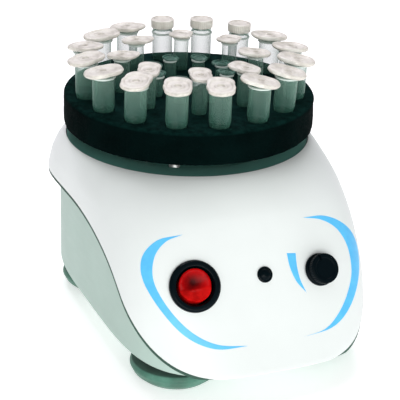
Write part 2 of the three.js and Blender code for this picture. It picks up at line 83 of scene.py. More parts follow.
DECK_RADIUS = 62.9
DECK_TOP = 91.6
DECK_THICKNESS = 3.0
DECK_STEP = 0.6  # the deck's middle is lower than its rim by this much
DECK_SCREWS = [(x * 23.7, y * 41.6) for x in (-1, 1) for y in (-1, 1)]  # around the axis
BASE_SCREWS = ((-48, 4), (48, 4), (0, 82), (0, -72))
SCREW_HEAD = 2.1  # height of a screw's head

PLATFORM_RADIUS = 64.8
PLATFORM_BOTTOM = 98.5
PLATFORM_TOP = 115.2

# Places of the controls on the front slope: across and in height.
SWITCH_PLACE = (-34.4, 52.5)
LENS_PLACE = (1.6, 53.2)
KNOB_PLACE = (30.6, 51.4)

# The parting line between base and cover in the side view: three Bezier stretches of (y, z).
PARTING = (
    ((110, 60), (70, 65), (45, 68), (15, 68)),
    ((15, 68), (-18, 68), (-36, 58), (-48, 44.3)),
    ((-48, 44.3), (-58, 33), (-78, 16), (-96, 12)),
)


# ---------------------------------------------------------------- housing outline

def spline_at(values, fraction):
    """Value of an evenly spaced list at a fraction from 0 to 1, along a Catmull-Rom spline."""
    place = min(max(fraction, 0.0), 1.0) * (len(values) - 1)
    left = min(int(place), len(values) - 2)
    t = place - left
    p1 = values[left]
    p2 = values[left + 1]
    p0 = values[left - 1] if left > 0 else 2 * p1 - p2
    p3 = values[left + 2] if left + 2 < len(values) else 2 * p2 - p1
    slope_1 = (p2 - p0) / 2
    slope_2 = (p3 - p1) / 2
    cubic = 2 * p1 - 2 * p2 + slope_1 + slope_2
    square = -3 * p1 + 3 * p2 - 2 * slope_1 - slope_2
    return ((cubic * t + square) * t + slope_1) * t + p1


def cover_outline(z, inset=0.0):
    """Level outline of the cover: half width, reach to the front and rear, exponent."""
    fraction = (z - FLOOR_Z) / COVER_SPAN
    half = spline_at(COVER_HALF, fraction) - inset
    front = spline_at(COVER_FRONT, fraction) - inset
    rear = spline_at(COVER_REAR, fraction) - inset
    return half, front, rear, spline_at(COVER_POWER, fraction)


def length_of(front, rear):
    """Half length and middle of an outline that reaches so far to the front and rear."""
    return (front + rear) / 2, AXIS_Y + (rear - front) / 2


def outline_point(outline, angle):
    """Point of a superellipse outline in a direction seen from its centre."""
    half, front, rear, power = outline
    reach, middle = length_of(front, rear)
    cosine, sine = math.cos(angle), math.sin(angle)
    size = (abs(cosine / half) ** power + abs(sine / reach) ** power) ** (-1 / power)
    return size * cosine, middle + size * sine


def pull_inside(x, y, z, inset):
    """The same point, drawn towards the middle where it would leave the inset cover."""
    half, front, rear, power = cover_outline(z, inset)
    reach, middle = length_of(front, rear)
    excess = (abs(x / half) ** power + abs((y - middle) / reach) ** power) ** (1 / power)
    if excess > 1:
        x = x / excess
        y = middle + (y - middle) / excess
    return x, y, z


def bezier(points, t):
    """Point of a cubic Bezier curve."""
    a, b, c, d = (np.array(p, float) for p in points)
    s = 1 - t
    return s**3 * a + 3 * s * s * t * b + 3 * s * t * t * c + t**3 * d


PARTING_LINE = sorted(
    tuple(bezier(part, t)) for part in PARTING for t in np.linspace(0, 1, 60)
)
PARTING_Y = [p[0] for p in PARTING_LINE]
PARTING_Z = [p[1] for p in PARTING_LINE]


def parting_height(y):
    """Height of the parting line at a depth."""
    return float(np.interp(y, PARTING_Y, PARTING_Z))


def cover_low_edge(angle):
    """Height at which the cover's surface meets the parting line in a direction."""
    low, high = FLOOR_Z, 75.0
    if low >= parting_height(outline_point(cover_outline(low), angle)[1]):
        return low
    for _ in range(40):
        z = (low + high) / 2
        y = outline_point(cover_outline(z), angle)[1]
        if z < parting_height(y):
            low = z
        else:
            high = z
    return high


def front_y(x, z):
    """Depth of the front slope at a place on it."""
    half, front, rear, power = cover_outline(z)
    reach, middle = length_of(front, rear)
    side = max(0.0, 1 - abs(x / half) ** power)
    return middle - reach * side ** (1 / power)


def front_slopes(x, z, step):
    """Directions of the front slope at a place on it: across, and up along the slope."""
    across = Vector((2 * step, front_y(x + step, z) - front_y(x - step, z), 0))
    rise = Vector((0, front_y(x, z + step) - front_y(x, z - step), 2 * step))
    return across, rise


def panel_matrix(x, z):
    """Frame on the front slope, in metres: +Z points out of the panel, +Y runs up the slope."""
    across, rise = front_slopes(x, z, 6.0)
    up = rise.normalized()
    out = across.normalized().cross(up).normalized()
    level = up.cross(out).normalized()
    matrix = Matrix((level, up, out)).transposed().to_4x4()
    matrix.translation = Vector((x, front_y(x, z), z)) * MM
    return matrix


# ---------------------------------------------------------------- mesh helpers

def rounded(corners, steps=4):
    """Polyline through (r, z) or (r, z, radius) corners, with those of a radius rounded off."""
    points = []
    count = len(corners)
    for i, corner in enumerate(corners):
        radius = corner[2] if len(corner) > 2 else 0
        here = Vector(corner[:2])
        if not radius:
            points.append(tuple(here))
            continue
        before = Vector(corners[(i - 1) % count][:2]) - here
        after = Vector(corners[(i + 1) % count][:2]) - here
        half = before.angle(after) / 2
        reach = min(radius / math.tan(half), before.length * 0.49, after.length * 0.49)
        start = here + before.normalized() * reach
        end = here + after.normalized() * reach
        for k in range(steps + 1):
            t = k / steps
            point = start * (1 - t) ** 2 + here * 2 * t * (1 - t) + end * t**2
            points.append(tuple(point))
    return points


def mesh_from_rings(name, rings, closed):
    """Mesh through rings of points that all have the same count. An open stack is capped with
    one point at each end, given as a ring of a single point."""
    vertices = []
    starts = []
    for ring in rings:
        starts.append(len(vertices))
        vertices.extend(ring)
    faces = []
    pairs = list(zip(range(len(rings)), range(1, len(rings))))
    if closed:
        pairs.append((len(rings) - 1, 0))
    for low, high in pairs:
        count = max(len(rings[low]), len(rings[high]))
        for k in range(count):
            n = (k + 1) % count
            if len(rings[low]) == 1:
                faces.append((starts[low], starts[high] + n, starts[high] + k))
            elif len(rings[high]) == 1:
                faces.append((starts[low] + k, starts[low] + n, starts[high]))
            else:
                quad = (starts[low] + k, starts[low] + n, starts[high] + n, starts[high] + k)
                faces.append(quad)
    mesh = bpy.data.meshes.new(name)
    mesh.from_pydata([Vector(v) * MM for v in vertices], [], faces)
    return mesh


def smooth(mesh, sharp=35):
    """Smooth shading, with sharp edges past an angle in degrees."""
    mesh.shade_smooth()
    mesh.set_sharp_from_angle(angle=math.radians(sharp))
    return mesh


def finish_mesh(mesh, sharp=35):
    """The mesh with its faces turned outwards, and smoothed."""
    work = bmesh.new()
    work.from_mesh(mesh)
    bmesh.ops.recalc_face_normals(work, faces=work.faces)
    work.to_mesh(mesh)
    work.free()
    return smooth(mesh, sharp)


def turned_rings(profile, sides, shape=None):
    """Rings of a body of revolution about +Z; shape(radius, z, angle) may reshape its radius."""
    rings = []
    for radius, z in profile:
        if radius < 1e-6:
            rings.append([(0, 0, z)])
            continue
        ring = []
        for k in range(sides):
            angle = 2 * math.pi * k / sides
            size = shape(radius, z, angle) if shape else radius
            ring.append((size * math.cos(angle), size * math.sin(angle), z))
        rings.append(ring)
    return rings


def turned_mesh(name, profile, sides=64, closed=False, shape=None, sharp=35):
    """Body of revolution about +Z through the (r, z) points of a profile."""
    mesh = mesh_from_rings(name, turned_rings(profile, sides, shape), closed)
    return finish_mesh(mesh, sharp)


def place(name, mesh, material, body, slot=None, stands_for=(), matrix=None):
    """New piece of the object: its mesh in place, riding on a body."""
    piece = bpy.data.objects.new(name, mesh)
    bpy.context.scene.collection.objects.link(piece)
    if not mesh.materials:
        mesh.materials.append(material)
    if matrix is not None:
        piece.matrix_world = matrix
    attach(piece, body)
    if stands_for:
        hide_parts(*stands_for)
    return piece


def joined(name, meshes):
    """One mesh from several, each given with the matrix that places it."""
    work = bmesh.new()
    for mesh, matrix in meshes:
        copy = mesh.copy()
        copy.transform(matrix)
        work.from_mesh(copy)
        bpy.data.meshes.remove(copy)
    mesh = bpy.data.meshes.new(name)
    work.to_mesh(mesh)
    work.free()
    return smooth(mesh)


def cut_out(piece, cutters):
    """Takes the cutter meshes out of a piece for good."""
    tool = bpy.data.objects.new("cutter", joined("cutter", cutters))
    bpy.context.scene.collection.objects.link(tool)
    cut = piece.modifiers.new("cut", "BOOLEAN")
    cut.operation = "DIFFERENCE"
    cut.solver = "EXACT"
    cut.object = tool
    bpy.context.view_layer.update()
    depsgraph = bpy.context.evaluated_depsgraph_get()
    result = bpy.data.meshes.new_from_object(piece.evaluated_get(depsgraph))
    piece.modifiers.clear()
    piece.data = smooth(result)
    bpy.data.objects.remove(tool)


def box_cutter(at, size):
    """Box of a size in millimetres, centred on a matrix, as a cutter."""
    mesh = bpy.data.meshes.new("box_cutter")
    work = bmesh.new()
    bmesh.ops.create_cube(work, size=1.0)
    work.to_mesh(mesh)
    work.free()
    return mesh, at @ Matrix.Diagonal(Vector((*(side * MM for side in size), 1)))


def shift(x, y, z):
    """Matrix that moves by so many millimetres."""
    return Matrix.Translation(Vector((x, y, z)) * MM)


def turn_about(axis, degrees):
    """Matrix that turns about an axis through the origin."""
    return Matrix.Rotation(math.radians(degrees), 4, axis)


# ---------------------------------------------------------------- materials

def new_material(name, roughness, metallic=0.0):
    material = bpy.data.materials.new(name)
    material.use_nodes = True
    shader = material.node_tree.nodes["Principled BSDF"]
    shader.inputs["Roughness"].default_value = roughness
    shader.inputs["Metallic"].default_value = metallic
    return material, shader


def add_node(material, kind, **inputs):
    node = material.node_tree.nodes.new(kind)
    for key, value in inputs.items():
        node.inputs[key].default_value = value
    return node


def wire(material, source, target):
    material.node_tree.links.new(source, target)


def object_place(material, stretch=(1, 1, 1)):
    """Object coordinates, stretched along an axis for a directional grain."""
    coordinates = add_node(material, "ShaderNodeTexCoord")
    mapping = add_node(material, "ShaderNodeMapping", Scale=stretch)
    wire(material, coordinates.outputs["Object"], mapping.inputs["Vector"])
    return mapping.outputs["Vector"]


def noise_of(material, where, scale, detail=3.0, rough=0.55):
    node = add_node(material, "ShaderNodeTexNoise", Scale=scale, Detail=detail, Roughness=rough)
    wire(material, where, node.inputs["Vector"])
    return node.outputs["Fac"]


def ramp(material, source, stops):
    """Colour ramp with (place, colour) stops."""
    node = add_node(material, "ShaderNodeValToRGB")
    elements = node.color_ramp.elements
    while len(elements) < len(stops):
        elements.new(0.5)
    for element, (position, colour) in zip(elements, stops):
        element.position = position
        element.color = (*colour, 1)
    wire(material, source, node.inputs["Fac"])
    return node.outputs["Color"]


def remap(material, source, low, high, to_low=0.0, to_high=1.0):
    """Straight change of a value from one range to another, held at the ends."""
    node = add_node(material, "ShaderNodeMapRange")
    limits = {"From Min": low, "From Max": high, "To Min": to_low, "To Max": to_high}
    for key, value in limits.items():
        node.inputs[key].default_value = value
    wire(material, source, node.inputs["Value"])
    return node.outputs["Result"]


def vary_roughness(material, shader, source, low, high):
    wire(material, remap(material, source, 0.3, 0.7, low, high), shader.inputs["Roughness"])


def bump(material, shader, source, distance, strength=1.0, under=None):
    """Bump of a real depth in millimetres, on top of another one."""
    node = add_node(material, "ShaderNodeBump", Strength=strength, Distance=distance * MM)
    wire(material, source, node.inputs["Height"])
    if under is not None:
        wire(material, under, node.inputs["Normal"])
    wire(material, node.outputs["Normal"], shader.inputs["Normal"])
    return node.outputs["Normal"]


def paint(material, shader, colour):
    wire(material, colour, shader.inputs["Base Color"])


def shade(colour, factor):
    return tuple(min(1.0, c * factor) for c in colour)


def moulded_plastic(name, colour, roughness, grain=0.02, mottle=0.05, specular=0.5):
    """Injection-moulded plastic: faint flow mottling, fine spark-eroded grain, handling marks."""
    material, shader = new_material(name, roughness)
    where = object_place(material)
    flow = noise_of(material, where, 28.0, 4.0)
    stops = [(0.3, shade(colour, 1 - mottle)), (0.7, shade(colour, 1 + mottle))]
    tint = ramp(material, flow, stops)
    paint(material, shader, tint)
    marks = noise_of(material, object_place(material, (1, 1, 5)), 60.0, 6.0, 0.65)
    vary_roughness(material, shader, marks, roughness - 0.06, roughness + 0.08)
    fine = bump(material, shader, noise_of(material, where, 1400.0, 2.0), grain)
    bump(material, shader, noise_of(material, where, 90.0, 2.0), 0.03, 0.6, fine)
    shader.inputs["Specular IOR Level"].default_value = specular
    return material


def closed_cell_foam():
    """Black polyethylene foam: skinned cells of half a millimetre, mottled, with painted light
    making the top skin lighter than the side.
    """
    material, shader = new_material("closed_cell_foam", 0.85)
    where = object_place(material)
    cells = add_node(material, "ShaderNodeTexVoronoi", Scale=1100.0)
    cells.feature = "F1"
    wire(material, where, cells.inputs["Vector"])
    wear = noise_of(material, where, 45.0, 5.0, 0.6)
    skin = [(0.3, (0.0003, 0.0024, 0.0023)), (0.75, (0.0009, 0.0062, 0.0058))]
    tint = ramp(material, wear, skin)
    top_mottle = noise_of(material, where, 210.0, 5.0, 0.7)
    painted_lit_top = ramp(material, top_mottle, [(0.35, (0.0012, 0.0085, 0.0078)), (0.7, (0.005, 0.03, 0.026))])
    # Painted light: the top 1.6 mm of the disc gets the lighter mottled skin, so its top reads
    # lighter than its side.
    tint = blend(material, along(material, "Z", PLATFORM_TOP - 1.6, PLATFORM_TOP - 0.2), tint, painted_lit_top)
    paint(material, shader, tint)
    vary_roughness(material, shader, cells.outputs["Distance"], 0.75, 0.95)
    pits = bump(material, shader, cells.outputs["Distance"], 0.12, 0.7)
    bump(material, shader, wear, 0.25, 0.5, pits)
    shader.inputs["Specular IOR Level"].default_value = 0.015
    return material


def metal(name, colour, roughness, stretch=(1, 1, 30)):
    """Machined metal with drawn-out tool marks and slight staining."""
    material, shader = new_material(name, roughness, 1.0)
    stain = noise_of(material, object_place(material), 70.0, 5.0)
    tint = ramp(material, stain, [(0.3, shade(colour, 0.82)), (0.72, shade(colour, 1.08))])
    paint(material, shader, tint)
    marks = noise_of(material, object_place(material, stretch), 900.0, 3.0, 0.7)
    vary_roughness(material, shader, marks, roughness - 0.08, roughness + 0.12)
    bump(material, shader, marks, 0.01)
    return material


def along(material, axis, low, high):
    """Share of the way between two places along an axis of a piece, in millimetres."""
    split = add_node(material, "ShaderNodeSeparateXYZ")
    wire(material, object_place(material), split.inputs[0])
    return remap(material, split.outputs[axis], low * MM, high * MM)


def around(material, centre, low, high):
    """Share of the way out from a point of a piece, in millimetres."""
    span = add_node(material, "ShaderNodeVectorMath")
    span.operation = "DISTANCE"
    wire(material, object_place(material), span.inputs[0])
    span.inputs[1].default_value = [c * MM for c in centre]
    return remap(material, span.outputs["Value"], low * MM, high * MM)


def blend(material, share, low, high):
    """Mix of two colour sources, or of a source and a plain colour."""
    mix = add_node(material, "ShaderNodeMix")
    mix.data_type = "RGBA"
    wire(material, share, mix.inputs[0])
    for socket, value in ((mix.inputs[6], low), (mix.inputs[7], high)):
        if isinstance(value, tuple):
            socket.default_value = (*value, 1)
        else:
            wire(material, value, socket)
    return mix.outputs[2]


def soft_rubber():
    """Grey-green thermoplastic rubber with a matt bloom, and painted shade on its top, under the
    housing's edge.
    """
    material, shader = new_material("foot_rubber_looks", 0.62)
    where = object_place(material)
    bloom = noise_of(material, where, 85.0, 6.0, 0.62)
    stops = [(0.28, (0.03, 0.105, 0.072)), (0.5, (0.06, 0.19, 0.135)), (0.75, (0.12, 0.3, 0.225))]
    tint = ramp(material, bloom, stops)
    # Painted shade: from 8.6 mm up the foot turns nearly black, for the shadow under the housing.
    tint = blend(material, along(material, "Z", 8.6, 9.6), tint, (0.001, 0.012, 0.007))
    paint(material, shader, tint)
    vary_roughness(material, shader, bloom, 0.5, 0.78)
    bump(material, shader, noise_of(material, where, 700.0, 3.0), 0.04)
    shader.inputs["Sheen Weight"].default_value = 0.15
    return material


def circuit_board_material():
    """Solder-masked board: woven glass under the mask and a lattice of tracks."""
    material, shader = new_material("circuit_board_looks", 0.4)
    where = object_place(material)
    tracks = add_node(material, "ShaderNodeTexBrick", Scale=260.0)
    tracks.inputs["Color1"].default_value = (0.012, 0.11, 0.04, 1)
    tracks.inputs["Color2"].default_value = (0.016, 0.13, 0.05, 1)
    tracks.inputs["Mortar"].default_value = (0.03, 0.2, 0.07, 1)
    wire(material, where, tracks.inputs["Vector"])
    paint(material, shader, tracks.outputs["Color"])
    bump(material, shader, tracks.outputs["Fac"], 0.03)
    return material


def clear_polypropylene():
    """Tube plastic: see-through where it is met squarely, milky along its edges."""
    material, shader = new_material("clear_polypropylene", 0.3)
    where = object_place(material)
    haze = noise_of(material, object_place(material, (1, 1, 0.2)), 230.0, 4.0)
    # Painted shade and light: the wall darker low down by the foam and lighter towards the mouth.
    low = ramp(material, haze, [(0.3, (0.04, 0.15, 0.11)), (0.7, (0.09, 0.24, 0.185))])
    high = ramp(material, haze, [(0.3, (0.17, 0.33, 0.26)), (0.7, (0.3, 0.47, 0.39))])
    tint = blend(material, along(material, "Z", 1.0, 20.0), low, high)
    paint(material, shader, tint)
    vary_roughness(material, shader, haze, 0.3, 0.45)
    bump(material, shader, noise_of(material, where, 60.0, 1.0), 0.01, 0.3)
    facing = add_node(material, "ShaderNodeLayerWeight", Blend=0.35)
    haziness = remap(material, facing.outputs["Facing"], 0.0, 1.0, 0.24, 0.86)
    wire(material, haziness, shader.inputs["Alpha"])
    return material


def lid_polypropylene():
    """Lid plastic: thicker than the wall, so nearly opaque, off-white and waxy."""
    material, shader = new_material("lid_polypropylene", 0.4)
    where = object_place(material)
    cloud = noise_of(material, where, 210.0, 4.0)
    stops = [(0.3, (0.66, 0.63, 0.57)), (0.5, (0.86, 0.82, 0.75)), (0.68, (0.98, 0.95, 0.88))]
    tint = ramp(material, cloud, stops)
    paint(material, shader, tint)
    vary_roughness(material, shader, cloud, 0.3, 0.5)
    bump(material, shader, noise_of(material, where, 900.0, 2.0), 0.02)
    shader.inputs["Transmission Weight"].default_value = 0.12
    shader.inputs["Subsurface Weight"].default_value = 0.2
    shader.inputs["Subsurface Radius"].default_value = (0.002, 0.002, 0.002)
    return material


def red_with_painted_shade_and_light():
    """Red tinted plastic, with painted shade in the middle of the dish and painted light on the face
    below it.
    """
    material, shader = new_material("red_with_painted_shade_and_light", 0.25)
    where = object_place(material)
    flow = noise_of(material, where, 240.0, 4.0)
    deep = ramp(material, flow, [(0.32, (0.03, 0.0002, 0.0006)), (0.7, (0.08, 0.0005, 0.001))])
    bright = ramp(material, flow, [(0.32, (0.26, 0.0008, 0.0015)), (0.7, (0.5, 0.002, 0.003))])
    # Painted shade: darkest at the dish's middle, turning to the brighter red by 6.2 mm from it.
    tint = blend(material, around(material, (-0.8, 1.8, 0.6), 1.0, 6.2), deep, bright)
    lower = ramp(material, flow, [(0.3, (0.34, 0.002, 0.002)), (0.68, (0.7, 0.008, 0.007))])
    # Painted light: the face below the ridge, from y = -1.2 mm down to -2.2 mm, turns a brighter
    # red.
    shade_and_light_tint = blend(material, along(material, "Y", -1.2, -2.2), tint, lower)
    paint(material, shader, shade_and_light_tint)
    vary_roughness(material, shader, flow, 0.2, 0.34)
    bump(material, shader, flow, 0.04, 0.5)
    shader.inputs["Specular IOR Level"].default_value = 0.05
    return material


def panel_print():
    """Screen-printed light blue ink with a faint mesh in its film."""
    material, shader = new_material("blue_ink", 0.42)
    where = object_place(material)
    film = noise_of(material, where, 160.0, 4.0)
    tint = ramp(material, film, [(0.3, (0.09, 0.5, 0.92)), (0.72, (0.12, 0.6, 1.0))])
    paint(material, shader, tint)
    bump(material, shader, noise_of(material, where, 2200.0, 1.0), 0.006)
    return material


WHITE = moulded_plastic("white_housing", (0.81, 0.85, 0.84), 0.4, 0.012, 0.018, 0.35)
GREY = moulded_plastic("grey_green_housing", (0.455, 0.59, 0.53), 0.48, 0.03, 0.04, 0.3)
# Painted shade: near-black bead colour standing for the shadow in the seam between the shells.
SEAM_SHADE = moulded_plastic("seam_shade_dark", (0.055, 0.11, 0.085), 0.6, 0.03, 0.2, 0.1)
DECK = moulded_plastic("deck_grey_green", (0.12, 0.33, 0.28), 0.42, 0.03, 0.12, 0.2)
BLACK = moulded_plastic("black_gloss", (0.0006, 0.004, 0.006), 0.22, 0.008, 0.3, 0.07)
KNOB_BLACK = moulded_plastic("black_satin", (0.0006, 0.004, 0.006), 0.4, 0.02, 0.3, 0.05)
RED = red_with_painted_shade_and_light()
INK = panel_print()
FOAM = closed_cell_foam()
RUBBER = soft_rubber()
CLEAR = clear_polypropylene()
LID = lid_polypropylene()
# Pale, nearly opaque collar plastic: partly the milky thick edge, partly a painted highlight along
# the bead under each lid.
BEAD = moulded_plastic("bead_polypropylene_painted_highlight", (0.66, 0.74, 0.7), 0.3, 0.01, 0.06, 0.5)
STEEL = metal("ground_steel", (0.56, 0.57, 0.58), 0.3)
ZINC = metal("zinc_screw", (0.9, 0.92, 0.9), 0.45, (1, 1, 8))
CAST = metal("cast_aluminium", (0.5, 0.51, 0.52), 0.46, (1, 1, 1))
BOARD = circuit_board_material()


# ---------------------------------------------------------------- housing

SHELL_SIDES = 288
SHELL_ANGLES = [2 * math.pi * k / SHELL_SIDES for k in range(SHELL_SIDES)]


def quarter_turn(radius):
    """(rise, inset) of a rounded lower edge, from its underside to the wall."""
    turns = [math.pi / 2 * j / 5 for j in range(6)]
    return [(radius * (1 - math.cos(turn)), radius * (1 - math.sin(turn))) for turn in turns]


def cover_loop(angle):
    """The cover cut open in one direction: rounded lower edge on the parting line, outer face,
    shoulder up to the lip around the deck, and the inner face back down."""
    def wall(z, inset):
        return *outline_point(cover_outline(z, inset), angle), z

    rows, shoulder_rows, inner_rows = 44, 16, 12
    low = cover_low_edge(angle)
    start = low + COVER_EDGE
    loop = [wall(low + rise, inset) for rise, inset in quarter_turn(COVER_EDGE)]
    loop += [wall(start + (SHOULDER_Z - start) * j / rows, 0.0) for j in range(1, rows + 1)]
    opening = DECK_RADIUS + 0.5
    rim = (opening * math.cos(angle), AXIS_Y + opening * math.sin(angle))
    edge, lip = Vector(loop[-1]), Vector((*rim, COVER_TOP))
    rise = (edge - Vector(loop[-2])) / (loop[-1][2] - loop[-2][2]) * (COVER_TOP - SHOULDER_Z)
    above = lip + (edge - lip) * 0.4
    above.z = COVER_TOP - 1.2
    shoulder = (edge, edge + rise * 0.28, above, lip)
    loop += [tuple(bezier(shoulder, j / shoulder_rows)) for j in range(1, shoulder_rows + 1)]
    ceiling = COVER_TOP - COVER_UNDERSIDE
    loop += [(*rim, COVER_TOP - 0.5), (*rim, ceiling + 1.8)]
    down = (start - ceiling) / inner_rows
    loop += [wall(ceiling + down * j, COVER_WALL) for j in range(inner_rows + 1)]
    return [*loop, wall(low, COVER_WALL - 0.4)]


def make_cover():
    """Thin white shell with holes for the switch, the lens and the knob's shaft."""
    rings = list(zip(*[cover_loop(angle) for angle in SHELL_ANGLES]))
    mesh = finish_mesh(mesh_from_rings("cover_shell", rings, True), 40)
    piece = place("cover_shell", mesh, WHITE, "housing", "housing_white", ["top_cover"])
    holes = [(SWITCH_PLACE, 10.1, 24), (LENS_PLACE, 2.8, 16), (KNOB_PLACE, 4.2, 20)]
    cutters = []
    for spot, radius, sides in holes:
        pin = turned_mesh("pin", [(0, -9), (radius, -9), (radius, 6), (0, 6)], sides)
        cutters.append((pin, panel_matrix(*spot)))
    cut_out(piece, cutters)


def base_loop(angle):
    """The base in one direction: floor, rounded lower edge, side wall up to the seam, the
    tongue behind the cover, and the inner face back down to the inner floor."""
    half, front, rear, power = BASE

    def at(z, inset, cover_inset):
        outline = (half - inset, front - inset, rear - inset, power)
        return pull_inside(*outline_point(outline, angle), z, cover_inset)

    outer_rows, inner_rows = 20, 8
    low = FLOOR_Z + BASE_EDGE
    top = max(low + 0.3, parting_height(outline_point(BASE, angle)[1]) - SEAM)
    inner = FLOOR_Z + BASE_FLOOR
    loop = [at(FLOOR_Z, inset, 1.0) for inset in (30, 16, 8)]
    loop += [at(FLOOR_Z + rise, inset, 1.0) for rise, inset in quarter_turn(BASE_EDGE)]
    up = (top - 0.35 - low) / outer_rows
    loop += [at(low + up * j, 0, 1.0) for j in range(1, outer_rows + 1)]
    loop += [at(top, 0.35, 1.4), at(top, 1.5, 3.5)]
    loop += [at(top + LAP, 1.6, 3.5), at(top + LAP, BASE_WALL, 3.8)]
    down = (inner + 1.5 - top) / inner_rows
    loop += [at(top + down * j, BASE_WALL, 4.2) for j in range(inner_rows + 1)]
    return loop + [at(inner, inset, 5.5) for inset in (BASE_WALL + 1.5, 10, 30)]


def make_base():
    """Grey-green tray, closed at the floor, with an opening for the inlet in its rear wall."""
    middle = length_of(BASE[1], BASE[2])[1]
    rings = list(zip(*[base_loop(angle) for angle in SHELL_ANGLES]))
    rings = [[(0, middle, FLOOR_Z)], *rings, [(0, middle, FLOOR_Z + BASE_FLOOR)]]
    mesh = finish_mesh(mesh_from_rings("base_tray", rings, False), 40)
    piece = place("base_tray", mesh, GREY, "housing", "housing_grey", ["base_shell"])
    low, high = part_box("power_jack")
    size = (high - low) / MM
    centre = (high + low) / 2 / MM
    at = shift(centre.x, high.y / MM, centre.z)
    cut_out(piece, [box_cutter(at, (size.x + 0.6, 20, size.z + 0.6))])


def make_seam_shade_bead():
    """Dark bead that runs round the housing in the joint between the two shells: painted shade for
    the shadow in the seam's gap.
    """
    path = []
    for angle in SHELL_ANGLES:
        low = max(cover_low_edge(angle), FLOOR_Z + 1.5)
        path.append((angle, Vector((*outline_point(cover_outline(low), angle), low))))
    bead = ((3.4, 0.0), (1.0, 0.0), (0.4, 0.1), (0.3, 0.5), (0.3, 1.3), (0.7, 1.6), (3.4, 1.7))
    rings = []
    for k, (angle, here) in enumerate(path):
        step = path[(k + 1) % len(path)][1] - path[k - 1][1]
        steep = min(2.6, step.length / max(0.01, step.xy.length))
        ring = []
        for inset, drop in bead:
            z = max(FLOOR_Z + 0.2, here.z - drop * steep)
            ring.append((*outline_point(cover_outline(here.z, inset), angle), z))
        rings.append(ring)
    mesh = finish_mesh(mesh_from_rings("seam_shade_bead", rings, True), 50)
    place("seam_shade_bead", mesh, SEAM_SHADE, "housing")


def make_pan_screw():
    """Pan-head screw with a cross recess, its seat at z = 0."""
    head = rounded([(0, SCREW_HEAD), (2.0, SCREW_HEAD - 0.1, 1.1), (2.9, 0.2, 0.3), (2.9, 0)])
    shank = [(1.3, 0), (1.3, -3), (0, -3)]
    piece = bpy.data.objects.new("pan_screw", turned_mesh("pan_screw", head + shank, 28))
    bpy.context.scene.collection.objects.link(piece)
    for degrees in (0, 90):
        slot = shift(0, 0, SCREW_HEAD) @ turn_about("Z", degrees)
        cut_out(piece, [box_cutter(slot, (3.6, 0.7, 1.7))])
    mesh = piece.data
    bpy.data.objects.remove(piece)
    return mesh


def make_deck(screw):
    """Round deck plate with a softened rim, the hub opening, a moulded step and four screws."""
    profile = rounded(
        [
            (16, DECK_TOP - DECK_THICKNESS, 0.4), (DECK_RADIUS, DECK_TOP - DECK_THICKNESS, 0.5),
            (DECK_RADIUS, DECK_TOP, 0.7), (51.0, DECK_TOP, 0.4),
            (50.4, DECK_TOP - DECK_STEP, 0.3), (20.0, DECK_TOP - DECK_STEP, 0.3),
            (19.4, DECK_TOP, 0.3), (16, DECK_TOP, 0.4),
        ]
    )
    mesh = turned_mesh("deck_ring", profile, 192, closed=True)
    at = shift(0, AXIS_Y, 0)
    place("deck_ring", mesh, DECK, "housing", "deck_grey", ["deck_plate"], at)
    for i, (x, y) in enumerate(DECK_SCREWS):
        matrix = shift(x, AXIS_Y + y, DECK_TOP - DECK_STEP) @ turn_about("Z", 37 * i)
        place(f"deck_screw_{i + 1}", screw, ZINC, "housing", "steel", (), matrix)


def make_feet(screw):
    """Round rubber feet with a bulged side, a stepped neck and a dished underside, and the
    screws in the floor of the base."""
    profile = rounded(
        [
            (0, 2.2), (11.0, 1.6, 1.5), (13.8, 0, 0.8), (17.2, 0.1, 1.2), (20.8, 3.2, 3.0),
            (22.5, 6.6, 1.4), (22.2, 7.8, 0.4), (21.3, 9.2, 0.9), (12.0, 9.6, 0.6),
            (11.4, 12.7), (0, 12.7),
        ],
        5,
    )
    mesh = turned_mesh("foot", profile, 96, sharp=50)
    for name in ("foot_front_left", "foot_front_right", "foot_rear_left", "foot_rear_right"):
        low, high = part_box(name)
        matrix = Matrix.Translation(Vector(((low.x + high.x) / 2, (low.y + high.y) / 2, 0)))
        place(f"{name}_pad", mesh, RUBBER, "housing", "foot_rubber", [name], matrix)
    for i, (x, y) in enumerate(BASE_SCREWS):
        matrix = shift(x, y, FLOOR_Z) @ turn_about("X", 180)
        place(f"base_screw_{i + 1}", screw, ZINC, "housing", "steel", (), matrix)


# ---------------------------------------------------------------- printed trim

def spline_points(points, count):
    """Evenly stepped points of a Catmull-Rom spline through a few control points."""
    xs = [p[0] for p in points]
    ys = [p[1] for p in points]
    steps = [k / (count - 1) for k in range(count)]
    return [(spline_at(xs, t), spline_at(ys, t)) for t in steps]


def print_band(name, outer, inner):
    """Thin film of ink on the front slope between two edges given in (x, z)."""
    steps, across = 72, 6
    proud, sunk = 0.07, 0.25
    rings = []
    for a, b in zip(spline_points(outer, steps), spline_points(inner, steps)):
        top, low = [], []
        for j in range(across + 1):
            t = j / across
            x = a[0] + (b[0] - a[0]) * t
            z = a[1] + (b[1] - a[1]) * t
            point = Vector((x, front_y(x, z), z))
            level, rise = front_slopes(x, z, 0.5)
            normal = level.cross(rise).normalized()
            top.append(point + normal * proud)
            low.append(point - normal * sunk)
        rings.append(top + low[::-1])
    rings = [[rings[0][0]], *rings[1:-1], [rings[-1][0]]]
    mesh = finish_mesh(mesh_from_rings(name, rings, False), 60)
    place(name, mesh, INK, "housing")


